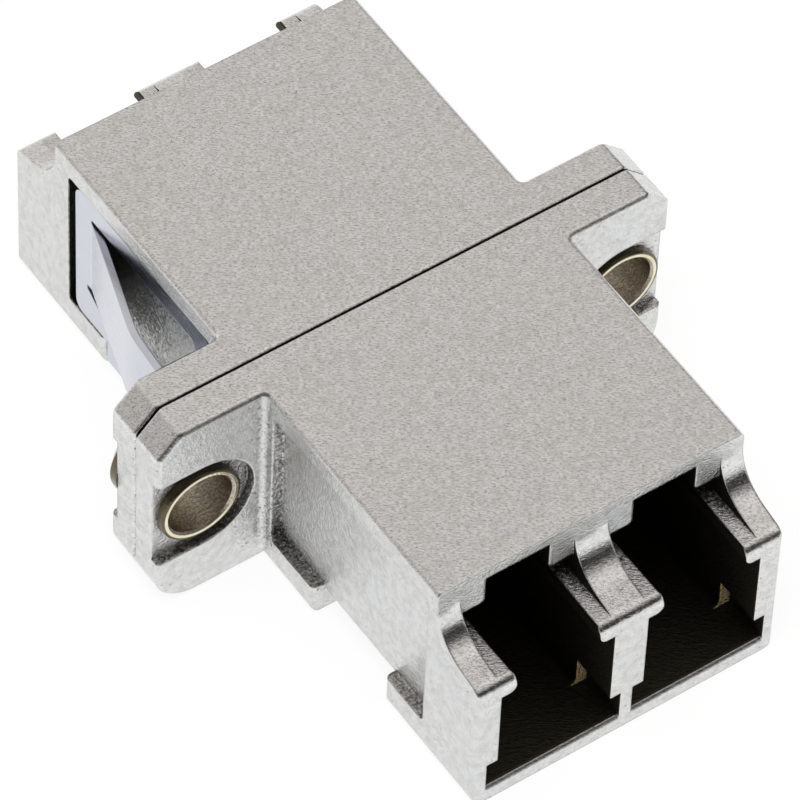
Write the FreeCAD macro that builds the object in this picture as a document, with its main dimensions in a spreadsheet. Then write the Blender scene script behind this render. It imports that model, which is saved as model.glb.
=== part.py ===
import FreeCAD, Part
import Sketcher
import math
import os
import re

# A flanged duplex adapter for two small push-in fibre plugs at each end.
# Two like die-cast shells meet at the flange seam and are held by two tubular rivets.
# X runs along the flange, Y along the plugs with the front mouth at -Y, and Z is up.
# The origin is in the seam, on the centre line, at the level of the underside.

SIZES = {
    # shell as a whole
    "shell_length": 14.8,
    "mouth_setback": 2.68,
    "floor_thickness": 0.72,
    "roof_thickness": 0.51,
    "edge_radius": 0.42,
    "top_bevel": 0.13,
    "mouth_corner_radius": 0.2,
    "fine_radius": 0.12,
    # plug ports
    "port_pitch": 6.25,
    "channel_width": 4.83,
    "channel_height": 5.06,
    "channel_radius": 0.35,
    "bulkhead_thickness": 2.0,
    "foot_undercut": 0.46,
    "foot_rise": 1.38,
    "foot_depth": 2.0,
    "lip_thickness": 0.77,
    "lip_overhang": 0.64,
    "lip_radius": 0.32,
    "latch_height": 2.3,
    "catch_overhang": 1.07,
    "catch_height": 1.28,
    "catch_depth": 1.8,
    "catch_radius": 0.2,
    # concave ramp on the tops of the mouth's walls
    "ramp_radius": 1.9,
    "ramp_slope": 12.4,
    "ramp_front_height": 6.5,
    "nose_radius": 0.6,
    "floor_bevel": 0.15,
    # recess in each side, for the spring clip
    "side_skin": 0.49,
    "recess_depth": 0.47,
    "recess_radius": 0.25,
    "rail_height": 0.96,
    "rib_width": 0.5,
    "front_collar_length": 3.2,
    "rear_collar_length": 3.55,
    "ledge_height": 1.43,
    "flange_ledge": 3.2,
    "collar_ledge": 2.35,
    "strap_slant": 0.6,
    "strap_shoulder": 1.02,
    # flange
    "flange_thickness": 1.5,
    "flange_ear": 1.9,
    "flange_chamfer": 1.0,
    "flange_radius": 1.6,
    "flange_corner_radius": 0.35,
    "flange_fillet": 0.25,
    "seam_bevel": 0.1,
    # rivets and the seats that they sink into
    "rivet_pitch": 18.2,
    "rivet_bore": 2.7,
    "rivet_wall": 0.15,
    "rivet_clearance": 0.03,
    "seat_radius": 2.2,
    "seat_depth": 0.4,
    "rim_lip": 0.17,
    "rim_height": 0.35,
    "rim_bevel": 0.05,
    "rim_flare": 0.09,
    "head_lip": 0.45,
    "head_height": 0.8,
    "head_bevel": 0.4,
    # spring clip
    "clip_sheet": 0.28,
    "clip_clearance": 0.04,
    "clip_side_gap": 0.16,
    "clip_bend": 0.5,
    "clip_end_gap": 0.45,
    "clip_flange_gap": 0.2,
    "clip_end_radius": 0.5,
    "clip_top_gap": 0.06,
    "clip_top_arm": 0.95,
    "clip_low_arm": 0.89,
    "clip_flange_arm": 0.8,
    "clip_root_arm": 0.75,
    "panel_gap": 1.1,
    "left_tongue_angle": 18.2,
    "right_tongue_angle": 8.0,
    "tongue_back_bend": 14.2,
    "tongue_back_length": 2.1,
    "tongue_back_radius": 4.0,
    "tongue_cut": 0.17,
    "tongue_relief": 0.3,
    "tongue_rise": 1.07,
    "window_slope": 1.3,
    "window_radius": 0.4,
    # sleeve holder
    "plate_thickness": 1.0,
    "plate_margin": 2.0,
    "plate_radius": 0.5,
    "holder_clearance": 0.04,
    "holder_wall": 0.36,
    "holder_tube": 4.4,
    "holder_lip": 0.7,
    "holder_mouth": 1.0,
    # split sleeves
    "sleeve_bore": 1.255,
    "sleeve_wall": 0.185,
    "sleeve_length": 6.8,
    "sleeve_slit": 0.3,
    "sleeve_clearance": 0.04,
    "sleeve_end_play": 0.1,
}

# Places that follow from the sizes, in the same terms.
PLACES = {
    "channel_side": "(port_pitch + channel_width) / 2",
    "web_side": "(port_pitch - channel_width) / 2",
    "recess_wall": "channel_side + side_skin",
    "half_width": "recess_wall + recess_depth",
    "lip_level": "floor_thickness + channel_height",
    "latch_level": "lip_level + lip_thickness",
    "roof_level": "latch_level + latch_height",
    "shell_height": "roof_level + roof_thickness",
    "optic_level": "floor_thickness + channel_height / 2",
    "mouth_face": "shell_length - mouth_setback",
    "rib_face": "flange_thickness + rib_width",
    "front_collar_face": "shell_length - front_collar_length",
    "rear_collar_face": "shell_length - rear_collar_length",
    "strap_near": "flange_thickness + flange_ledge",
    "front_strap_far": "front_collar_face - collar_ledge",
    "rear_strap_far": "rear_collar_face - collar_ledge",
    "strap_level": "clip_sheet + 2 * clip_clearance",
    "rail_level": "shell_height - rail_height",
    "flange_side": "rivet_pitch / 2 + flange_ear",
    "rivet_level": "shell_height / 2",
    "rivet_radius": "rivet_bore / 2 + rivet_wall",
    "clip_inner": "recess_wall + clip_side_gap",
    "clip_outer": "clip_inner + clip_sheet",
    "clip_bottom": "ledge_height + clip_top_gap",
    "clip_top": "rail_level - clip_top_gap",
    "clip_near": "rib_face + clip_flange_gap",
    "clip_far": "rear_collar_face - clip_end_gap",
    "window_near": "clip_near + clip_flange_arm",
    "window_far": "clip_far - clip_root_arm",
    "window_top": "clip_top - clip_top_arm",
    "window_bottom": "clip_bottom + clip_low_arm",
    "tongue_root": "window_far - tongue_relief",
    "tongue_end": "flange_thickness + panel_gap",
    "tongue_knee": "tongue_end + tongue_back_length",
    "tongue_top": "window_top - tongue_cut",
    "tongue_bottom": "window_bottom + tongue_rise",
    "sleeve_radius": "sleeve_bore / 2 + sleeve_wall",
    "holder_bore": "sleeve_radius + sleeve_clearance",
    "holder_radius": "holder_bore + holder_wall",
    "sleeve_stop": "sleeve_length / 2 + sleeve_end_play",
}

TURNED = FreeCAD.Placement(FreeCAD.Vector(0, 0, 0), FreeCAD.Rotation(FreeCAD.Vector(0, 0, 1), 180))

doc = FreeCAD.newDocument("adapter")
sheet = doc.addObject("Spreadsheet::Sheet", "Sizes")


def fill_sheet():
    for row, (name, size) in enumerate(SIZES.items(), start=1):
        sheet.set(f"A{row}", name)
        sheet.set(f"B{row}", str(size))
        sheet.setAlias(f"B{row}", name)
    doc.recompute()


def bound(text):
    """The text of a size, with each of its names led back to the sheet."""
    def lookup(match):
        word = match.group()
        if word in PLACES:
            return f"({bound(PLACES[word])})"
        if word in SIZES:
            return f"Sizes.{word}"
        return word
    return re.sub(r"[a-z_]+", lookup, str(text))


def number(text):
    return float(sheet.evalExpression(bound(text)))


def new_body(label):
    body = doc.addObject("PartDesign::Body", label)
    body.Label = label
    return body


def origin_plane(body, role):
    return [item for item in body.Origin.OriginFeatures if item.Role == role][0]


def sketch_on(body, role, name, lift="0"):
    """A sketch on one of the body's own origin planes, lifted along that plane's normal."""
    sketch = body.newObject("Sketcher::SketchObject", name)
    sketch.AttachmentSupport = [(origin_plane(body, role), "")]
    sketch.MapMode = "FlatFace"
    sketch.setExpression("AttachmentOffset.Base.z", bound(lift))
    return sketch


def free_sketch(name, role):
    """A sketch of its own, for a profile that is crossed with another."""
    sketch = doc.addObject("Sketcher::SketchObject", name)
    turns = {
        "XY_Plane": FreeCAD.Rotation(0, 0, 0),
        "XZ_Plane": FreeCAD.Rotation(FreeCAD.Vector(1, 0, 0), 90),
        "YZ_Plane": FreeCAD.Rotation(FreeCAD.Vector(1, 1, 1), 120),
    }
    sketch.Placement = FreeCAD.Placement(FreeCAD.Vector(0, 0, 0), turns[role])
    return sketch


def fix(sketch, kind, text, *places):
    """One dimension of a sketch, bound to the sheet."""
    index = sketch.addConstraint(Sketcher.Constraint(kind, *places, number(text)))
    name = f"size_{index}"
    sketch.renameConstraint(index, name)
    sketch.setExpression(f"Constraints.{name}", bound(text))


def place(sketch, across, up, item, end):
    """Holds a point at its distances from the origin, which is the start of the sketch's axis -1."""
    for kind, text, axis in (("DistanceX", across, -2), ("DistanceY", up, -1)):
        if text == "0":
            sketch.addConstraint(Sketcher.Constraint("PointOnObject", item, end, axis))
        else:
            fix(sketch, kind, text, -1, 1, item, end)


def round_corner(before, here, after, radius):
    """The arc that rounds a corner, as centre, first point, last point and its turn."""
    inward = (before - here).normalize()
    onward = (after - here).normalize()
    half = inward.getAngle(onward) / 2
    first = here + inward * (radius / math.tan(half))
    last = here + onward * (radius / math.tan(half))
    centre = here + (inward + onward).normalize() * (radius / math.sin(half))
    turns_left = onward.cross(inward).z > 0
    return centre, first, last, turns_left


def outline(sketch, corners):
    """A closed outline. Each corner is across, up and, where it is round, its radius."""
    points = [FreeCAD.Vector(number(corner[0]), number(corner[1]), 0) for corner in corners]
    count = len(points)
    rounds = []
    for index, corner in enumerate(corners):
        here = points[index]
        if len(corner) == 2:
            rounds.append((None, here, here, True))
        else:
            after = points[(index + 1) % count]
            rounds.append(round_corner(points[index - 1], here, after, number(corner[2])))
    lines = []
    for index in range(count):
        start = rounds[index][2]
        end = rounds[(index + 1) % count][1]
        lines.append(sketch.addGeometry(Part.LineSegment(start, end), False))
    for index, corner in enumerate(corners):
        centre, first, last, turns_left = rounds[index]
        incoming = lines[index - 1]
        outgoing = lines[index]
        if centre is None:
            sketch.addConstraint(Sketcher.Constraint("Coincident", incoming, 2, outgoing, 1))
            place(sketch, corner[0], corner[1], outgoing, 1)
            continue
        ends = (first, last) if turns_left else (last, first)
        angles = [math.atan2(end.y - centre.y, end.x - centre.x) for end in ends]
        circle = Part.Circle(centre, FreeCAD.Vector(0, 0, 1), number(corner[2]))
        arc = sketch.addGeometry(Part.ArcOfCircle(circle, angles[0], angles[1]), False)
        near, far = (1, 2) if turns_left else (2, 1)
        sketch.addConstraint(Sketcher.Constraint("Tangent", incoming, 2, arc, near))
        sketch.addConstraint(Sketcher.Constraint("Tangent", arc, far, outgoing, 1))
        fix(sketch, "Radius", corner[2], arc)
        point = sketch.addGeometry(Part.Point(points[index]), True)
        sketch.addConstraint(Sketcher.Constraint("PointOnObject", point, 1, incoming))
        sketch.addConstraint(Sketcher.Constraint("PointOnObject", point, 1, outgoing))
        place(sketch, corner[0], corner[1], point, 1)


def circle(sketch, across, up, radius):
    middle = FreeCAD.Vector(number(across), number(up), 0)
    ring = Part.Circle(middle, FreeCAD.Vector(0, 0, 1), number(radius))
    item = sketch.addGeometry(ring, False)
    fix(sketch, "Radius", radius, item)
    place(sketch, across, up, item, 3)


def box_outline(sketch, across_low, across_high, up_low, up_high, radius=None):
    """A rectangle, with its corners rounded where a radius is given."""
    ends = ((across_low, up_low), (across_high, up_low), (across_high, up_high), (across_low, up_high))
    outline(sketch, [end if radius is None else end + (radius,) for end in ends])


def pad(body, sketch, length, side="One side"):
    feature = body.newObject("PartDesign::Pad", f"{sketch.Name}_pad")
    feature.Profile = (sketch, [""])
    feature.SideType = side
    feature.setExpression("Length", bound(length))
    doc.recompute()
    return feature


def pocket(body, sketch, length, side="One side", back=True):
    """A cut; it runs along the plane's normal, or back from it."""
    before = body.Shape.Volume
    feature = body.newObject("PartDesign::Pocket", f"{sketch.Name}_cut")
    feature.Profile = (sketch, [""])
    feature.SideType = side
    feature.Reversed = not back
    feature.setExpression("Length", bound(length))
    doc.recompute()
    if body.Shape.Volume >= before:
        raise ValueError(f"{feature.Name} cuts nothing")
    return feature


def mirrored(body, features, role="YZ_Plane"):
    copy = body.newObject("PartDesign::Mirrored", f"{features[0].Name}_mirror")
    copy.Originals = features
    copy.MirrorPlane = (origin_plane(body, role), [""])
    body.Tip = copy
    doc.recompute()
    return copy


def edges_where(shape, test):
    """Names of the open edges whose middle and direction pass the test."""
    names = []
    for index, edge in enumerate(shape.Edges, start=1):
        run = edge.Vertexes[-1].Point - edge.Vertexes[0].Point
        if run.Length > 0 and test(edge.CenterOfGravity, run.normalize()):
            names.append(f"Edge{index}")
    return names


def near(value, text):
    return abs(abs(value) - abs(number(text))) < 0.001


def dress(body, kind, name, test, size):
    """Rounds (Fillet) or bevels (Chamfer) the edges of the body that pass the test."""
    names = edges_where(body.Tip.Shape, test)
    if not names:
        raise ValueError(f"{name} finds no edge")
    base = body.Tip
    feature = body.newObject(f"PartDesign::{kind}", name)
    feature.Base = (base, names)
    feature.setExpression("Radius" if kind == "Fillet" else "Size", bound(size))
    doc.recompute()
    return feature


def shell_block(body, prefix):
    """The plug housing as a plain block, and the flange at its seam end."""
    block = sketch_on(body, "XZ_Plane", f"{prefix}_block")
    outline(block, [
        ("-half_width", "0", "edge_radius"),
        ("half_width", "0", "edge_radius"),
        ("half_width", "shell_height"),
        ("-half_width", "shell_height"),
    ])
    pad(body, block, "shell_length")
    flange = sketch_on(body, "XZ_Plane", f"{prefix}_flange")
    outline(flange, [
        ("-flange_side", "0", "flange_radius"),
        ("flange_side", "0", "flange_radius"),
        ("flange_side", "shell_height - flange_chamfer", "flange_corner_radius"),
        ("flange_side - flange_chamfer", "shell_height", "flange_corner_radius"),
        ("-(flange_side - flange_chamfer)", "shell_height", "flange_corner_radius"),
        ("-flange_side", "shell_height - flange_chamfer", "flange_corner_radius"),
    ])
    pad(body, flange, "flange_thickness")
    root = sketch_on(body, "XY_Plane", f"{prefix}_flange_root", "edge_radius")
    for lean in ("", "-"):
        far = f"{lean}(half_width + flange_fillet + fine_radius)"
        sunk = f"{lean}(half_width - fine_radius)"
        outline(root, [
            (sunk, "-(flange_thickness - fine_radius)"),
            (far, "-(flange_thickness - fine_radius)"),
            (far, "-flange_thickness"),
            (f"{lean}half_width", "-flange_thickness", "flange_fillet"),
            (f"{lean}half_width", "-(flange_thickness + flange_fillet + fine_radius)"),
            (sunk, "-(flange_thickness + flange_fillet + fine_radius)"),
        ])
    pad(body, root, "shell_height - edge_radius")
    dress(body, "Chamfer", f"{prefix}_top_edges",
          lambda mid, run: near(run.y, "1") and near(mid.z, "shell_height"), "top_bevel")
    corners = sketch_on(body, "XY_Plane", f"{prefix}_mouth_corners")
    for lean in ("", "-"):
        outline(corners, [
            (f"{lean}half_width", "-mouth_face"),
            (f"{lean}half_width", "-shell_length", "mouth_corner_radius"),
            (f"{lean}(half_width - 1)", "-shell_length"),
            (f"{lean}(half_width - 1)", "-(shell_length + 1)"),
            (f"{lean}(half_width + 1)", "-(shell_length + 1)"),
            (f"{lean}(half_width + 1)", "-mouth_face"),
        ])
    pocket(body, corners, "shell_height + 1", back=False)


def rivet_seats(body, prefix):
    """A hole through each ear, and the sunk seat round it that is open to the flange's end."""
    hole = sketch_on(body, "XZ_Plane", f"{prefix}_rivet_hole")
    seat = sketch_on(body, "XZ_Plane", f"{prefix}_rivet_seat", "flange_thickness")
    way = sketch_on(body, "XZ_Plane", f"{prefix}_seat_way", "flange_thickness")
    circle(hole, "rivet_pitch / 2", "rivet_level", "rivet_radius + rivet_clearance")
    circle(seat, "rivet_pitch / 2", "rivet_level", "seat_radius")
    box_outline(way, "rivet_pitch / 2", "flange_side + 1", "rivet_level - seat_radius",
                "rivet_level + seat_radius")
    cuts = [
        pocket(body, hole, "flange_thickness", back=False),
        pocket(body, seat, "seat_depth"),
        pocket(body, way, "seat_depth"),
    ]
    mirrored(body, cuts)


def side_recesses(body, prefix):
    """The sunk panel in each side between rib, rail, ledges and collar."""
    panel = sketch_on(body, "YZ_Plane", f"{prefix}_side_panel", "recess_wall")
    box_outline(panel, f"-{prefix}_collar_face", "-rib_face", "ledge_height", "rail_level", "recess_radius")
    mirrored(body, [pocket(body, panel, "recess_depth + 1", back=False)])
    strap = sketch_on(body, "XZ_Plane", f"{prefix}_strap_way", "strap_near")
    outline(strap, [
        ("-(half_width + 1)", "-1"),
        ("half_width + 1", "-1"),
        ("half_width + 1", "ledge_height + recess_radius"),
        ("recess_wall", "ledge_height + recess_radius"),
        ("recess_wall", "strap_level + strap_shoulder"),
        ("recess_wall - strap_slant", "strap_level"),
        ("-(recess_wall - strap_slant)", "strap_level"),
        ("-recess_wall", "strap_level + strap_shoulder"),
        ("-recess_wall", "ledge_height + recess_radius"),
        ("-(half_width + 1)", "ledge_height + recess_radius"),
    ])
    pocket(body, strap, f"{prefix}_strap_far - strap_near", back=False)
    ends = sketch_on(body, "XY_Plane", f"{prefix}_ledge_ends")
    for lean in ("", "-"):
        outline(ends, [
            (f"{lean}recess_wall", "-strap_near"),
            (f"{lean}half_width", "-strap_near", "recess_radius"),
            (f"{lean}half_width", "-rib_face"),
            (f"{lean}(half_width + 1)", "-rib_face"),
            (f"{lean}(half_width + 1)", f"-{prefix}_collar_face"),
            (f"{lean}half_width", f"-{prefix}_collar_face"),
            (f"{lean}half_width", f"-{prefix}_strap_far", "recess_radius"),
            (f"{lean}recess_wall", f"-{prefix}_strap_far"),
        ])
    pocket(body, ends, "ledge_height + recess_radius", back=False)


def ports(body, prefix):
    """Both plug ports: channel, lips, latch space and the wider foot at the mouth."""
    port = sketch_on(body, "XZ_Plane", f"{prefix}_ports", "bulkhead_thickness")
    foot = sketch_on(body, "XZ_Plane", f"{prefix}_feet", "shell_length - foot_depth")
    wide = "channel_width / 2"
    narrow = "(channel_width / 2 - lip_overhang)"
    for side in (-1, 1):
        middle = f"{side} * port_pitch / 2"
        outline(port, [
            (f"{middle} - {wide}", "floor_thickness", "channel_radius"),
            (f"{middle} + {wide}", "floor_thickness", "channel_radius"),
            (f"{middle} + {wide}", "lip_level"),
            (f"{middle} + {narrow}", "lip_level", "lip_radius"),
            (f"{middle} + {narrow}", "latch_level", "fine_radius"),
            (f"{middle} + {wide}", "latch_level"),
            (f"{middle} + {wide}", "roof_level", "fine_radius"),
            (f"{middle} - {wide}", "roof_level", "fine_radius"),
            (f"{middle} - {wide}", "latch_level"),
            (f"{middle} - {narrow}", "latch_level", "fine_radius"),
            (f"{middle} - {narrow}", "lip_level", "lip_radius"),
            (f"{middle} - {wide}", "lip_level"),
        ])
        box_outline(foot, f"{middle} - {wide} - foot_undercut", f"{middle} + {wide} + foot_undercut",
                    "floor_thickness", "floor_thickness + foot_rise")
    pocket(body, port, "shell_length", back=False)
    pocket(body, foot, "foot_depth + 1", back=False)


def mouth(body, prefix):
    """The open top of the mouth, with the concave ramp on its walls, and the latch catches."""
    drop = "mouth_setback * tan(ramp_slope)"
    top = sketch_on(body, "YZ_Plane", f"{prefix}_mouth_top")
    outline(top, [
        ("-mouth_face", "shell_height + 1"),
        ("-mouth_face", f"ramp_front_height + {drop}", "ramp_radius"),
        ("-shell_length", "ramp_front_height", "nose_radius"),
        ("-shell_length", "ramp_front_height - 2 * nose_radius"),
        ("-(shell_length + 1)", "ramp_front_height - 2 * nose_radius"),
        ("-(shell_length + 1)", "shell_height + 1"),
    ])
    pocket(body, top, "2 * half_width + 2", side="Symmetric")
    catches = sketch_on(body, "XZ_Plane", f"{prefix}_catches", "mouth_face - catch_depth")
    for side in (-1, 1):
        for lean in (-1, 1):
            wall = f"{side} * port_pitch / 2 + {lean} * channel_width / 2"
            root = f"{wall} + {lean} * fine_radius"
            tip = f"{wall} - {lean} * catch_overhang"
            outline(catches, [
                (root, "roof_level + fine_radius"),
                (root, "roof_level - catch_height"),
                (tip, "roof_level - catch_height", "catch_radius"),
                (tip, "roof_level + fine_radius"),
            ])
    pad(body, catches, "catch_depth")


def holder_seat(body, prefix):
    """The pocket in the seam for the sleeve holder's plate, and the holes for its tubes."""
    plate = sketch_on(body, "XZ_Plane", f"{prefix}_holder_seat")
    reach = "(plate_margin + holder_clearance)"
    box_outline(plate, f"-(port_pitch / 2 + {reach})", f"port_pitch / 2 + {reach}",
                f"optic_level - {reach}", f"optic_level + {reach}", "plate_radius + holder_clearance")
    pocket(body, plate, "plate_thickness + holder_clearance", back=False)
    tubes = sketch_on(body, "XZ_Plane", f"{prefix}_tube_holes")
    for side in (-1, 1):
        circle(tubes, f"{side} * port_pitch / 2", "optic_level", "holder_radius + holder_clearance")
    pocket(body, tubes, "bulkhead_thickness + 1", back=False)


def soften_shell(body, prefix):
    """The floor's bevel at the mouth, and the bevel along the seam."""
    def floor_edge(mid, run):
        return near(run.x, "1") and near(mid.y, "shell_length") and near(mid.z, "floor_thickness")

    def outer_seam(mid, run):
        beside = abs(mid.x) > number("rivet_pitch / 2 + rivet_radius / 2")
        return near(mid.y, "0") and (beside or mid.z < number("floor_thickness") or mid.z > number("rail_level"))

    dress(body, "Chamfer", f"{prefix}_floor_bevel", floor_edge, "floor_bevel")
    dress(body, "Chamfer", f"{prefix}_seam_bevel", outer_seam, "seam_bevel")


def shell(label, prefix):
    body = new_body(label)
    shell_block(body, prefix)
    rivet_seats(body, prefix)
    side_recesses(body, prefix)
    ports(body, prefix)
    mouth(body, prefix)
    holder_seat(body, prefix)
    soften_shell(body, prefix)
    return body


def rivet(label, side):
    """A tubular rivet: rolled rim in the front seat, domed head in the rear one."""
    body = new_body(label)
    profile = sketch_on(body, "XY_Plane", f"{label}_profile")
    floor = "(flange_thickness - seat_depth)"
    bore = "rivet_bore / 2"
    outline(profile, [
        (bore, f"{floor} + head_height"),
        (bore, f"-({floor} + rim_height - rim_flare)"),
        (f"{bore} + rim_flare", f"-({floor} + rim_height)"),
        ("rivet_radius + rim_lip - rim_bevel", f"-({floor} + rim_height)"),
        ("rivet_radius + rim_lip", f"-({floor} + rim_height - rim_bevel)"),
        ("rivet_radius + rim_lip", f"-{floor}"),
        ("rivet_radius", f"-{floor}"),
        ("rivet_radius", floor),
        ("rivet_radius + head_lip", floor),
        ("rivet_radius + head_lip", f"{floor} + head_height - head_bevel"),
        ("rivet_radius + head_lip - head_bevel", f"{floor} + head_height"),
    ])
    turn = body.newObject("PartDesign::Revolution", f"{label}_turn")
    turn.Profile = (profile, [""])
    turn.ReferenceAxis = (profile, ["V_Axis"])
    turn.Angle = 360
    body.setExpression("Placement.Base.x", bound(f"{side} * rivet_pitch / 2"))
    body.setExpression("Placement.Base.z", bound("rivet_level"))
    doc.recompute()
    return body


def extruded(sketch, direction, length, back):
    """A free profile drawn out along an axis."""
    block = doc.addObject("Part::Extrusion", f"{sketch.Name}_block")
    block.Base = sketch
    block.DirMode = "Custom"
    block.Dir = direction
    block.Solid = True
    block.setExpression("LengthFwd", bound(length))
    block.setExpression("LengthRev", bound(back))
    return block


def without(name, base, tool):
    """The first shape with the second taken out of it."""
    rest = doc.addObject("Part::Cut", name)
    rest.Base = base
    rest.Tool = tool
    return rest


def shared(name, first, second):
    """The space that two shapes share."""
    common = doc.addObject("Part::MultiCommon", name)
    common.Shapes = [first, second]
    return common


def clip_frame():
    """The sheet bent to a U round the shell, cut to its side plates, windows and strap."""
    band = free_sketch("clip_section", "XZ_Plane")
    inner_bend = "clip_bend - clip_sheet"
    foot = "clip_clearance"
    outline(band, [
        ("-clip_outer", "clip_top"),
        ("-clip_outer", foot, "clip_bend"),
        ("clip_outer", foot, "clip_bend"),
        ("clip_outer", "clip_top"),
        ("clip_inner", "clip_top"),
        ("clip_inner", f"{foot} + clip_sheet", inner_bend),
        ("-clip_inner", f"{foot} + clip_sheet", inner_bend),
        ("-clip_inner", "clip_top"),
    ])
    side = free_sketch("clip_side", "YZ_Plane")
    outline(side, [
        ("clip_near", "clip_bottom", "clip_end_radius"),
        ("strap_near + clip_flange_gap", "clip_bottom"),
        ("strap_near + clip_flange_gap", "-1"),
        ("rear_strap_far - clip_flange_gap", "-1"),
        ("rear_strap_far - clip_flange_gap", "clip_bottom"),
        ("clip_far", "clip_bottom", "clip_end_radius"),
        ("clip_far", "clip_top", "clip_end_radius"),
        ("clip_near", "clip_top", "clip_end_radius"),
    ])
    window = free_sketch("clip_window", "YZ_Plane")
    outline(window, [
        ("window_near", "window_bottom", "window_radius"),
        ("window_far - window_slope", "window_bottom", "window_radius"),
        ("window_far", "tongue_bottom - tongue_cut", "tongue_cut / 3"),
        ("window_far", "tongue_bottom", "tongue_cut / 3"),
        ("tongue_root", "tongue_bottom"),
        ("tongue_root", "window_top"),
        ("window_near", "window_top", "window_radius"),
    ])
    across = FreeCAD.Vector(1, 0, 0)
    sheet_block = extruded(band, FreeCAD.Vector(0, 1, 0), "clip_far + 1", "0")
    side_block = extruded(side, across, "half_width + 1", "half_width + 1")
    window_block = extruded(window, across, "half_width + 1", "half_width + 1")
    plates = shared("clip_plates", sheet_block, side_block)
    return without("clip_frame", plates, window_block)


def sheet_corner(across, along, angle, turn):
    """Where the sheet's inner face has its corner, behind an outer corner that lies between two legs."""
    depth = f"clip_sheet / cos({turn} / 2)"
    return f"{across} - {depth} * cos({angle})", f"{along} - {depth} * sin({angle})"


def clip_tongue(name, angle):
    """A tongue on the side towards +X: sprung out of its plate by that angle, with its end bent back."""
    end_angle = f"({angle} - tongue_back_bend)"
    knee = f"clip_outer + (tongue_root - tongue_knee) * tan({angle})"
    tip = f"{knee} + tongue_back_length * tan({end_angle})"
    flare = free_sketch(f"{name}_flare", "XY_Plane")
    outline(flare, [
        ("clip_outer", "window_far"),
        ("clip_outer", "tongue_root", "clip_bend"),
        (knee, "tongue_knee", "tongue_back_radius + clip_sheet"),
        (tip, "tongue_end"),
        sheet_corner(tip, "tongue_end", end_angle, "0"),
        sheet_corner(knee, "tongue_knee", f"({angle} - tongue_back_bend / 2)", "tongue_back_bend")
        + ("tongue_back_radius",),
        sheet_corner("clip_outer", "tongue_root", f"({angle} / 2)", angle) + ("clip_bend + clip_sheet",),
        ("clip_inner", "window_far"),
    ])
    face = free_sketch(f"{name}_face", "YZ_Plane")
    box_outline(face, "tongue_end - 1", "window_far", "tongue_bottom", "tongue_top")
    flare_block = extruded(flare, FreeCAD.Vector(0, 0, 1), "clip_top", "0")
    face_block = extruded(face, FreeCAD.Vector(1, 0, 0), "half_width + shell_length", "0")
    return shared(name, flare_block, face_block)


def clip(label):
    """The spring clip on the rear shell. Its right tongue is pressed in further than its left."""
    left = doc.addObject("Part::Mirroring", "left_tongue")
    left.Source = clip_tongue("left_tongue_before_mirror", "left_tongue_angle")
    left.Normal = FreeCAD.Vector(1, 0, 0)
    joined = doc.addObject("Part::MultiFuse", label)
    joined.Shapes = [clip_frame(), left, clip_tongue("right_tongue", "right_tongue_angle")]
    joined.Refine = True
    joined.Label = label
    doc.recompute()
    return joined


def holder(label, prefix):
    """Half a sleeve holder: a plate trapped in the seam, with a tube for each sleeve."""
    body = new_body(label)
    plate = sketch_on(body, "XZ_Plane", f"{prefix}_plate")
    box_outline(plate, "-(port_pitch / 2 + plate_margin)", "port_pitch / 2 + plate_margin",
                "optic_level - plate_margin", "optic_level + plate_margin", "plate_radius")
    pad(body, plate, "plate_thickness")
    tubes = sketch_on(body, "XZ_Plane", f"{prefix}_tubes")
    bores = sketch_on(body, "XZ_Plane", f"{prefix}_bores")
    for side in (-1, 1):
        middle = f"{side} * port_pitch / 2"
        circle(tubes, middle, "optic_level", "holder_radius")
        circle(bores, middle, "optic_level", "holder_bore")
    pad(body, tubes, "holder_tube")
    pocket(body, bores, "sleeve_stop", back=False)
    for side in (-1, 1):
        funnel = body.newObject("PartDesign::SubtractiveCone", f"{prefix}_funnel")
        funnel.AttachmentSupport = [(origin_plane(body, "XZ_Plane"), "")]
        funnel.MapMode = "FlatFace"
        funnel.setExpression("AttachmentOffset.Base.x", bound(f"{side} * port_pitch / 2"))
        funnel.setExpression("AttachmentOffset.Base.y", bound("optic_level"))
        funnel.setExpression("AttachmentOffset.Base.z", bound("sleeve_stop"))
        funnel.setExpression("Radius1", bound("holder_lip"))
        funnel.setExpression("Radius2", bound("holder_mouth"))
        funnel.setExpression("Height", bound("holder_tube - sleeve_stop"))
        doc.recompute()
    return body


def sleeve(label, side):
    """A split ceramic sleeve, slit along its top."""
    body = new_body(label)
    ring = sketch_on(body, "XZ_Plane", f"{label}_ring")
    circle(ring, "0", "0", "sleeve_radius")
    circle(ring, "0", "0", "sleeve_bore / 2")
    pad(body, ring, "sleeve_length", side="Symmetric")
    slit = sketch_on(body, "XZ_Plane", f"{label}_slit")
    box_outline(slit, "-sleeve_slit / 2", "sleeve_slit / 2", "sleeve_bore / 4", "sleeve_radius + 1")
    pocket(body, slit, "sleeve_length + 1", side="Symmetric")
    body.setExpression("Placement.Base.x", bound(f"{side} * port_pitch / 2"))
    body.setExpression("Placement.Base.z", bound("optic_level"))
    doc.recompute()
    return body


def write(parts):
    """Checks every object and each piece, and then writes the pieces."""
    doc.recompute()
    for item in doc.Objects:
        if "Invalid" in item.State or "Error" in item.State:
            raise ValueError(f"{item.Name} has failed")
    for part in parts:
        shape = part.Shape
        if shape.isNull() or not shape.isValid() or not shape.Solids:
            raise ValueError(f"{part.Label} has no valid shape")
    os.makedirs("parts", exist_ok=True)
    for part in parts:
        part.Shape.exportStep(f"parts/{part.Label}.step")
        box = part.Shape.BoundBox
        print(part.Label, len(part.Shape.Solids), round(part.Shape.Volume, 3),
              [round(value, 3) for value in (box.XMin, box.XMax, box.YMin, box.YMax, box.ZMin, box.ZMax)])


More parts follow.
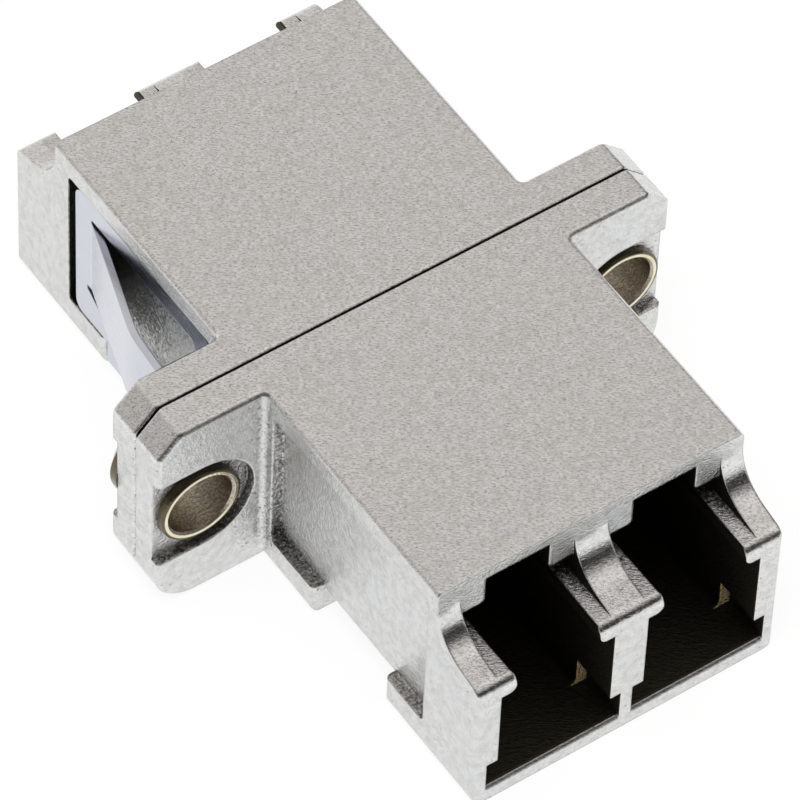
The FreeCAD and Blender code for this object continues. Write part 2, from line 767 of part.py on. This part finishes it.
def main():
    fill_sheet()
    front = shell("front_housing", "front")
    rear = shell("rear_housing", "rear")
    rear.Placement = TURNED
    front_holder = holder("front_sleeve_holder", "front_holder")
    rear_holder = holder("rear_sleeve_holder", "rear_holder")
    rear_holder.Placement = TURNED
    write([
        front,
        rear,
        front_holder,
        rear_holder,
        sleeve("left_alignment_sleeve", -1),
        sleeve("right_alignment_sleeve", 1),
        rivet("left_rivet", -1),
        rivet("right_rivet", 1),
        clip("mounting_clip"),
    ])


main()
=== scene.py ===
import math

import bpy
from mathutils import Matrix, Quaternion, Vector

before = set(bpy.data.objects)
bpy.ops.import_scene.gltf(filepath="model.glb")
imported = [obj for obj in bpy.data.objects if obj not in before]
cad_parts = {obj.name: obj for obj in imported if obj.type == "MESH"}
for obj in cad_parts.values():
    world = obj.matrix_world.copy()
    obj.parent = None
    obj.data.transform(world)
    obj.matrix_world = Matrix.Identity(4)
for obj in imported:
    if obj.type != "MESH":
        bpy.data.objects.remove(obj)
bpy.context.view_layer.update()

# All places are in metres, in the frame of the part: X along the flange, -Y out of the front mouth.
MM = 0.001

CAMERA_PLACE = Vector((-101.463, -137.688, 218.993)) * MM
CAMERA_AIM = Vector((-0.540, -1.349, 4.650)) * MM
CAMERA_ROLL = math.radians(2.676)
CAMERA_LENS = 344.1
CAMERA_SENSOR = 36.0

FLOOR_HALF = 1.5
FLOOR_WHITE = (1.0, 1.0, 1.0, 1)
FLOOR_PAINT = (0.85, 0.85, 0.85, 1)
FLOOR_SHADOW_SHARE = 0.12

# The room: a wide soft box behind, a smaller one overhead, and a front that is dark low down.
BACK_BOX = (-0.12, 0.885, 0.45)
BACK_EDGE = (0.28, 0.93)
BACK_COLOR = (0.88, 0.843, 0.818, 1)
TOP_BOX = (0.40, -0.10, 0.91)
TOP_EDGE = (0.68, 0.95)
TOP_COLOR = (0.92, 0.885, 0.865, 1)
ROOM_DARK = (0.045, 0.043, 0.040, 1)
ROOM_DIM = (0.30, 0.29, 0.28, 1)
DIM_EDGE = (0.52, 0.85)
HORIZON = (0.03, 0.06)
HORIZON_WHITE = (1.0, 1.0, 1.0, 1)

FILL_PLACE = (-0.15, -0.10, 0.50)
FILL_SIZE = 0.40
FILL_POWER = 3.0

EDGE_RADIUS = 0.15 * MM
EDGE_SAMPLES = 6
SMOOTH_ANGLE = math.radians(28)

# A face looks along an axis where that part of its normal is larger than this.
FACING = 0.6

# The casting's grain: short strokes at a slant across the top.
GRAIN_TURN = math.radians(-36.9)
GRAIN_STRETCH = (2.4, 1, 1)
FINE_SIZE = 0.060 * MM
FINE_DEPTH = 0.034 * MM
PEEL_SIZE = 0.115 * MM
PEEL_DEPTH = 0.042 * MM
CLOUD_SIZE = 0.35 * MM
LUMP_SIZE = 1.3 * MM
LUMP_DEPTH = 0.02 * MM
MOTTLE_SIZE = 2.4 * MM

# The grain is weaker where the rounded normal leaves the face's own, and on slopes (by the normal's Z).
EDGE_GRAIN = 0.15
EDGE_LEAVES = 0.96
SLOPE_GRAIN = 0.2
SLOPE_MIDDLE = 0.55
SLOPE_REACH = (0.36, 0.44)

# Pits are fewer on upright faces than on level ones (by the normal's Z).
PIT_LEVEL = (0.3, 0.6)
PIT_SHARE = (0.20, 1.0)

# Painted light where little of the surroundings can be seen, but not low down beside the floor: a pale
# painted highlight, with dark specks of painted shade packed close over it.
SHELTER_REACH = 2.0 * MM
SHELTER_SAMPLES = 6
SHELTER_OPEN = (0.20, 0.80)
SHELTER_RISE = (0.9 * MM, 1.5 * MM)
SHELTER_DEPTH = 0.10 * MM
SPECK_SIZE = 0.12 * MM
SPECK_CROWDING = 0.38
SPECK_EDGE = (0.65, 0.70)
SPECK_COVER = 0.94

NICKEL_WARM = (0.78, 0.78, 0.77, 1)
NICKEL_COOL = (0.76, 0.775, 0.78, 1)
NICKEL_STAIN = (0.62, 0.615, 0.585, 1)
NICKEL_PIT = (0.47, 0.46, 0.445, 1)
# Painted highlight and painted shade for the sheltered corners.
SHELTER_PAINTED_HIGHLIGHT = (0.97, 0.97, 0.95, 1)
SHELTER_PAINTED_SHADE = (0.07, 0.062, 0.05, 1)
JOINT_AND_GAP_SHADE = (0.035, 0.033, 0.028, 1)
# Painted shade for the ports' inner walls.
PORT_SHADE_BLACK = (0.045, 0.042, 0.030, 1)
PORT_SHADE_BROWN = (0.075, 0.070, 0.052, 1)
# Painted glint for the small end faces of the feet's undercuts.
FOOT_GLINT_DARK = (0.08, 0.055, 0.025, 1)
FOOT_GLINT_GOLD = (0.80, 0.60, 0.34, 1)

# The ports' inner walls, where shade is painted, in a port's own half of the shell: |X|, |Y| and Z.
PORT_X = (0.69 * MM, 5.56 * MM)
FOOT_X = (0.24 * MM, 6.01 * MM)
PORT_Z = (0.70 * MM, 8.88 * MM)
FOOT_TOP = 2.12 * MM
FOOT_DEPTH = (12.60 * MM, 13.00 * MM)
PORT_FLOOR_TOP = 0.90 * MM
MOUTH_FRONT = 14.79 * MM
PORT_DEEP = 10.40 * MM

# The seam between the half shells, wide on top and narrow elsewhere.
SEAM_TOP = 0.05 * MM
SEAM_SIDE = 0.01 * MM
SEAM_LEVEL = (0.2, 0.3)

# The gap between the clip and the rear collar, where shade is painted: |X|, Y and Z.
GAP_X = (5.40 * MM, 6.44 * MM)
GAP_Y = (10.78 * MM, 11.27 * MM)
GAP_Z = (1.00 * MM, 8.38 * MM)

RIVET_X = 9.1 * MM
RIVET_Z = 4.68 * MM
RIVET_BORE = (1.43 * MM, 1.45 * MM)
RIVET_FLANK = (1.545 * MM, 1.575 * MM)


def new_material(name):
    material = bpy.data.materials.new(name)
    material.use_nodes = True
    tree = material.node_tree
    return material, tree, tree.nodes["Principled BSDF"]


def join(tree, value, socket):
    if isinstance(value, bpy.types.NodeSocket):
        tree.links.new(value, socket)
    else:
        socket.default_value = value


def node(tree, kind, settings=None, **sockets):
    """A shader node. A socket that is given another socket is linked, and any other value is set."""
    item = tree.nodes.new(f"ShaderNode{kind}")
    for name, value in (settings or {}).items():
        setattr(item, name, value)
    for name, value in sockets.items():
        join(tree, value, item.inputs[name.replace("_", " ")])
    return item


def math_node(tree, operation, *values, clamp=False):
    item = node(tree, "Math", {"operation": operation, "use_clamp": clamp})
    for socket, value in zip(item.inputs, values):
        join(tree, value, socket)
    return item.outputs["Value"]


def between(tree, factor, low, high, start=0.3, end=0.7):
    """A value that goes from low to high as the factor goes from start to end."""
    item = node(tree, "MapRange", Value=factor)
    for name, value in (("From Min", start), ("From Max", end), ("To Min", low), ("To Max", high)):
        item.inputs[name].default_value = value
    return item.outputs["Result"]


def above(tree, value, limit):
    return math_node(tree, "GREATER_THAN", value, limit)


def below(tree, value, limit):
    return math_node(tree, "LESS_THAN", value, limit)


def inside(tree, value, limits):
    return both(tree, above(tree, value, limits[0]), below(tree, value, limits[1]))


def both(tree, *masks):
    result = masks[0]
    for mask in masks[1:]:
        result = math_node(tree, "MULTIPLY", result, mask)
    return result


def either(tree, *masks):
    result = masks[0]
    for mask in masks[1:]:
        result = math_node(tree, "MAXIMUM", result, mask)
    return result


def blend(tree, factor, first, second):
    """A colour between two others."""
    return node(tree, "MixRGB", Fac=factor, Color1=first, Color2=second).outputs["Color"]


def dot(tree, first, second):
    item = node(tree, "VectorMath", {"operation": "DOT_PRODUCT"})
    join(tree, first, item.inputs[0])
    join(tree, second, item.inputs[1])
    return item.outputs["Value"]


def object_place(tree):
    return node(tree, "TexCoord").outputs["Object"]


def face_normal(tree):
    return node(tree, "NewGeometry").outputs["True Normal"]


def split(tree, vector):
    """The three parts of a vector, the first two without their sign."""
    parts = node(tree, "SeparateXYZ", Vector=vector).outputs
    x = math_node(tree, "ABSOLUTE", parts["X"])
    y = math_node(tree, "ABSOLUTE", parts["Y"])
    return x, y, parts["Z"]


def grain(tree, size, detail=2.0, roughness=0.5, stretch=(1, 1, 1), turn=0.0):
    """Noise with features about as wide as size, in metres, and longer along a stretched, turned axis."""
    spread = node(tree, "Mapping", {"vector_type": "TEXTURE"}, Vector=object_place(tree),
                  Rotation=(0, 0, turn), Scale=stretch).outputs["Vector"]
    noise = node(tree, "TexNoise", Vector=spread, Scale=1 / size, Detail=detail, Roughness=roughness)
    return noise.outputs["Fac"]


def worn_edge_normal(tree, radius=EDGE_RADIUS):
    """The surface normal with each sharp edge slightly rounded."""
    return node(tree, "Bevel", {"samples": EDGE_SAMPLES}, Radius=radius).outputs["Normal"]


def relief(tree, normal, height, depth, strength=1.0):
    """The normal with one layer of relief on it, depth in metres."""
    item = node(tree, "Bump", Normal=normal, Height=height, Distance=depth, Strength=strength)
    return item.outputs["Normal"]


def grain_share(tree, worn):
    """How strong the grain is: full on flat faces, and weak on slopes and on edges, which are worn."""
    flat = face_normal(tree)
    even = between(tree, dot(tree, worn, flat), EDGE_GRAIN, 1.0, EDGE_LEAVES, 1.0)
    face_z = math_node(tree, "ABSOLUTE", split(tree, flat)[2])
    off_slope = math_node(tree, "ABSOLUTE", math_node(tree, "SUBTRACT", face_z, SLOPE_MIDDLE))
    return both(tree, even, between(tree, off_slope, SLOPE_GRAIN, 1.0, *SLOPE_REACH))


def port_painted_light_masks(tree):
    """The inner walls of the ports, where shade is painted, and the small end faces of the feet's
    undercuts, where a glint is painted.
    """
    x, y, z = split(tree, object_place(tree))
    face_x, face_y, face_z = split(tree, face_normal(tree))
    channel = both(tree, inside(tree, x, PORT_X), inside(tree, z, PORT_Z))
    low = inside(tree, z, (PORT_Z[0], FOOT_TOP))
    foot = both(tree, inside(tree, x, FOOT_X), low, above(tree, y, FOOT_DEPTH[0]))
    room_inside = both(tree, either(tree, channel, foot), below(tree, y, MOUTH_FRONT))
    side = above(tree, face_x, FACING)
    floor_face = both(tree, above(tree, face_z, FACING), below(tree, z, PORT_FLOOR_TOP))
    ceiling = below(tree, face_z, -FACING)
    deep = below(tree, y, PORT_DEEP)
    walls = both(tree, room_inside, either(tree, side, floor_face, ceiling, deep))
    ends = both(tree, foot, inside(tree, y, FOOT_DEPTH), above(tree, face_y, FACING))
    return walls, ends


def shelter_painted_light_masks(tree):
    """How sheltered a corner is, its rough skin, and the dark specks of painted shade that lie close
    together there.
    """
    around = node(tree, "AmbientOcclusion", {"samples": SHELTER_SAMPLES}, Distance=SHELTER_REACH)
    seen = around.outputs["AO"]
    height = split(tree, object_place(tree))[2]
    raised = between(tree, height, 0.0, 1.0, *SHELTER_RISE)
    shelter = both(tree, between(tree, seen, 1.0, 0.0, *SHELTER_OPEN), raised)
    rough = grain(tree, SPECK_SIZE, detail=3.0, roughness=0.7)
    packed = math_node(tree, "ADD", rough, math_node(tree, "MULTIPLY", shelter, SPECK_CROWDING))
    return shelter, rough, between(tree, packed, 0.0, SPECK_COVER, *SPECK_EDGE)


def blasted_mask(tree):
    """How pitted a face is: most on the upper faces and chamfers, less on the upright ones."""
    face_z = split(tree, face_normal(tree))[2]
    return between(tree, math_node(tree, "ABSOLUTE", face_z), *PIT_SHARE, *PIT_LEVEL)


def joint_and_gap_shade_mask(tree):
    """The seam between the half shells, a dark joint line, and the narrow gap between the clip and the
    collar, where shade is painted.
    """
    place = object_place(tree)
    x, y, z = split(tree, place)
    face_z = split(tree, face_normal(tree))[2]
    seam = below(tree, y, between(tree, face_z, SEAM_SIDE, SEAM_TOP, *SEAM_LEVEL))
    gap = both(tree, inside(tree, x, GAP_X), inside(tree, y, GAP_Y), inside(tree, z, GAP_Z))
    rear = above(tree, node(tree, "SeparateXYZ", Vector=place).outputs["Y"], 0.0)
    return either(tree, seam, both(tree, gap, rear))


def cast_nickel():
    """Nickel plate over a tumbled die casting, with painted shade on its inner port walls, a painted glint
    at the feet's ends, and painted light in sheltered corners.
    """
    slanted = {"roughness": 0.6, "stretch": GRAIN_STRETCH, "turn": GRAIN_TURN}
    material, tree, shader = new_material("cast_nickel")
    fine = grain(tree, FINE_SIZE, detail=3.0, **slanted)
    peel = grain(tree, PEEL_SIZE, detail=2.0, **slanted)
    cloud = grain(tree, CLOUD_SIZE)
    lumps = grain(tree, LUMP_SIZE, detail=1.0)
    mottle = grain(tree, MOTTLE_SIZE)
    tone = blend(tree, between(tree, mottle, 0.0, 1.0), NICKEL_WARM, NICKEL_COOL)
    tone = blend(tree, between(tree, cloud, 0.6, 0.0, 0.30, 0.60), tone, NICKEL_STAIN)
    pits = math_node(tree, "MULTIPLY", between(tree, fine, 1.0, 0.0, 0.34, 0.54), blasted_mask(tree))
    plate = blend(tree, pits, tone, NICKEL_PIT)
    shelter, rough, specks = shelter_painted_light_masks(tree)
    # Painted light in sheltered corners: a pale painted highlight, then dark specks of painted shade.
    plate = blend(tree, shelter, plate, SHELTER_PAINTED_HIGHLIGHT)
    plate = blend(tree, specks, plate, SHELTER_PAINTED_SHADE)
    # A dark joint line at the seam, and painted shade in the gap between the clip and the collar.
    plate = blend(tree, joint_and_gap_shade_mask(tree), plate, JOINT_AND_GAP_SHADE)
    # The ports' inner walls get painted shade, near black with a brown cast.
    walls, ends = port_painted_light_masks(tree)
    dark = blend(tree, peel, PORT_SHADE_BLACK, PORT_SHADE_BROWN)
    # Painted glint on the feet's end faces, made less metallic so the fill lamp lights it.
    glint = blend(tree, between(tree, fine, 0.0, 1.0, 0.4, 0.6), FOOT_GLINT_DARK, FOOT_GLINT_GOLD)
    shade = blend(tree, walls, plate, dark)
    join(tree, blend(tree, ends, shade, glint), shader.inputs["Base Color"])
    join(tree, between(tree, ends, 1.0, 0.2, 0.0, 1.0), shader.inputs["Metallic"])
    satin = between(tree, peel, 0.15, 0.24)
    dull = math_node(tree, "MULTIPLY", walls, 0.55)
    join(tree, math_node(tree, "MAXIMUM", satin, dull), shader.inputs["Roughness"])
    normal = worn_edge_normal(tree)
    share = grain_share(tree, normal)
    normal = relief(tree, normal, lumps, LUMP_DEPTH)
    normal = relief(tree, normal, rough, SHELTER_DEPTH, shelter)
    normal = relief(tree, normal, peel, PEEL_DEPTH, share)
    normal = relief(tree, normal, fine, FINE_DEPTH, share)
    join(tree, normal, shader.inputs["Normal"])
    return material


def rivet_brass():
    """Pale turned brass, browner and duller in the bore, with painted shade on the rim's outer flank."""
    material, tree, shader = new_material("rivet_brass")
    x, y, z = split(tree, object_place(tree))
    across = math_node(tree, "SUBTRACT", x, RIVET_X)
    up = math_node(tree, "SUBTRACT", z, RIVET_Z)
    square = math_node(tree, "ADD", both(tree, across, across), both(tree, up, up))
    radius = math_node(tree, "SQRT", square)
    bore = between(tree, radius, 1.0, 0.0, *RIVET_BORE)
    tarnish = grain(tree, 0.5 * MM, detail=3.0)
    fine = grain(tree, 0.10 * MM)
    rim = blend(tree, between(tree, tarnish, 0.0, 1.0), (0.86, 0.83, 0.66, 1), (0.76, 0.68, 0.46, 1))
    speckle = between(tree, fine, 0.0, 1.0, 0.4, 0.6)
    brown = blend(tree, speckle, (0.40, 0.36, 0.31, 1), (0.62, 0.56, 0.46, 1))
    # Painted shade: the rim's outer flank is darkened to near black, where shade falls beside the seat.
    flank = between(tree, radius, 0.0, 1.0, *RIVET_FLANK)
    worn = blend(tree, flank, rim, (0.13, 0.11, 0.07, 1))
    join(tree, blend(tree, bore, worn, brown), shader.inputs["Base Color"])
    shader.inputs["Metallic"].default_value = 1.0
    dull = math_node(tree, "MULTIPLY", bore, 0.16)
    join(tree, math_node(tree, "ADD", between(tree, tarnish, 0.14, 0.24), dull), shader.inputs["Roughness"])
    normal = worn_edge_normal(tree, 0.04 * MM)
    join(tree, relief(tree, normal, fine, 0.014 * MM), shader.inputs["Normal"])
    return material


def spring_steel():
    """Rolled bright spring steel, with its grain along the strip."""
    material, tree, shader = new_material("spring_steel")
    rolled = grain(tree, 0.05 * MM, detail=3.0, stretch=(1, 14, 1))
    mottle = grain(tree, 1.4 * MM)
    tone = blend(tree, between(tree, mottle, 0.0, 1.0), (0.61, 0.63, 0.69, 1), (0.58, 0.605, 0.665, 1))
    join(tree, tone, shader.inputs["Base Color"])
    shader.inputs["Metallic"].default_value = 1.0
    join(tree, between(tree, rolled, 0.18, 0.28), shader.inputs["Roughness"])
    normal = worn_edge_normal(tree, 0.05 * MM)
    join(tree, relief(tree, normal, rolled, 0.0015 * MM), shader.inputs["Normal"])
    return material


def holder_plastic():
    """Dark moulded plastic with a fine eroded surface."""
    material, tree, shader = new_material("holder_plastic")
    fine = grain(tree, 0.06 * MM, detail=3.0)
    tone = blend(tree, fine, (0.010, 0.010, 0.011, 1), (0.018, 0.018, 0.019, 1))
    join(tree, tone, shader.inputs["Base Color"])
    join(tree, between(tree, fine, 0.42, 0.58), shader.inputs["Roughness"])
    normal = worn_edge_normal(tree)
    join(tree, relief(tree, normal, fine, 0.006 * MM), shader.inputs["Normal"])
    return material


def sleeve_ceramic():
    """Ground white zirconia."""
    material, tree, shader = new_material("sleeve_ceramic")
    ground = grain(tree, 0.03 * MM, stretch=(1, 10, 1))
    tone = blend(tree, ground, (0.80, 0.78, 0.72, 1), (0.86, 0.85, 0.81, 1))
    join(tree, tone, shader.inputs["Base Color"])
    join(tree, between(tree, ground, 0.16, 0.26), shader.inputs["Roughness"])
    normal = worn_edge_normal(tree, 0.03 * MM)
    join(tree, relief(tree, normal, ground, 0.001 * MM), shader.inputs["Normal"])
    return material


def dress(material, *names):
    for name in names:
        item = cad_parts[name]
        item.data.materials.clear()
        item.data.materials.append(material)
        item.data.shade_smooth()
        item.data.set_sharp_from_angle(angle=SMOOTH_ANGLE)


def floor():
    """A pale floor that shows as plain white and keeps a faint shadow."""
    corners = [(-FLOOR_HALF, -FLOOR_HALF, 0), (FLOOR_HALF, -FLOOR_HALF, 0),
               (FLOOR_HALF, FLOOR_HALF, 0), (-FLOOR_HALF, FLOOR_HALF, 0)]
    mesh = bpy.data.meshes.new("floor")
    mesh.from_pydata(corners, [], [(0, 1, 2, 3)])
    item = bpy.data.objects.new("floor", mesh)
    bpy.context.scene.collection.objects.link(item)
    material, tree, shader = new_material("floor_white")
    tree.nodes.remove(shader)
    lit = node(tree, "BsdfDiffuse", Color=FLOOR_PAINT).outputs["BSDF"]
    plain = node(tree, "Emission", Color=FLOOR_WHITE, Strength=1.0).outputs["Emission"]
    path = node(tree, "LightPath").outputs
    seen = math_node(tree, "ADD", path["Is Camera Ray"], path["Is Glossy Ray"], clamp=True)
    seen = math_node(tree, "ADD", seen, path["Is Transmission Ray"], clamp=True)
    share = math_node(tree, "MULTIPLY", seen, 1 - FLOOR_SHADOW_SHARE)
    mixed = node(tree, "MixShader", Fac=share)
    tree.links.new(lit, mixed.inputs[1])
    tree.links.new(plain, mixed.inputs[2])
    tree.links.new(mixed.outputs["Shader"], tree.nodes["Material Output"].inputs["Surface"])
    mesh.materials.append(material)


def room():
    """A studio room with two soft boxes, dark between them, and pale down at the horizon."""
    world = bpy.data.worlds.new("room")
    bpy.context.scene.world = world
    world.use_nodes = True
    tree = world.node_tree
    direction = node(tree, "TexCoord").outputs["Generated"]
    height = node(tree, "SeparateXYZ", Vector=direction).outputs["Z"]
    sky = blend(tree, between(tree, height, 0.0, 1.0, *DIM_EDGE), ROOM_DARK, ROOM_DIM)
    for towards, edge, color in ((BACK_BOX, BACK_EDGE, BACK_COLOR), (TOP_BOX, TOP_EDGE, TOP_COLOR)):
        share = between(tree, dot(tree, direction, towards), 0.0, 1.0, *edge)
        sky = blend(tree, share, sky, color)
    low = between(tree, height, 1.0, 0.0, *HORIZON)
    tree.links.new(blend(tree, low, sky, HORIZON_WHITE), tree.nodes["Background"].inputs["Color"])


def fill_light():
    """A soft lamp for what isn't metal, aimed at the origin and not mirrored in the plate."""
    data = bpy.data.lights.new("soft_fill", "AREA")
    data.shape = "SQUARE"
    data.size = FILL_SIZE
    data.energy = FILL_POWER
    item = bpy.data.objects.new("soft_fill", data)
    item.location = FILL_PLACE
    item.rotation_mode = "QUATERNION"
    item.rotation_quaternion = (-Vector(FILL_PLACE)).to_track_quat("-Z", "Y")
    item.visible_glossy = False
    bpy.context.scene.collection.objects.link(item)


def camera():
    data = bpy.data.cameras.new("camera")
    data.sensor_width = CAMERA_SENSOR
    data.lens = CAMERA_LENS
    data.clip_start = 0.01
    item = bpy.data.objects.new("camera", data)
    item.location = CAMERA_PLACE
    item.rotation_mode = "QUATERNION"
    level = (CAMERA_AIM - CAMERA_PLACE).to_track_quat("-Z", "Y")
    item.rotation_quaternion = level @ Quaternion((0, 0, 1), CAMERA_ROLL)
    bpy.context.scene.collection.objects.link(item)
    bpy.context.scene.camera = item


camera()
room()
floor()
fill_light()

dress(cast_nickel(), "front_housing", "rear_housing")
dress(rivet_brass(), "left_rivet", "right_rivet")
dress(spring_steel(), "mounting_clip")
dress(holder_plastic(), "front_sleeve_holder", "rear_sleeve_holder")
dress(sleeve_ceramic(), "left_alignment_sleeve", "right_alignment_sleeve")

bpy.context.scene.view_settings.view_transform = "Standard"
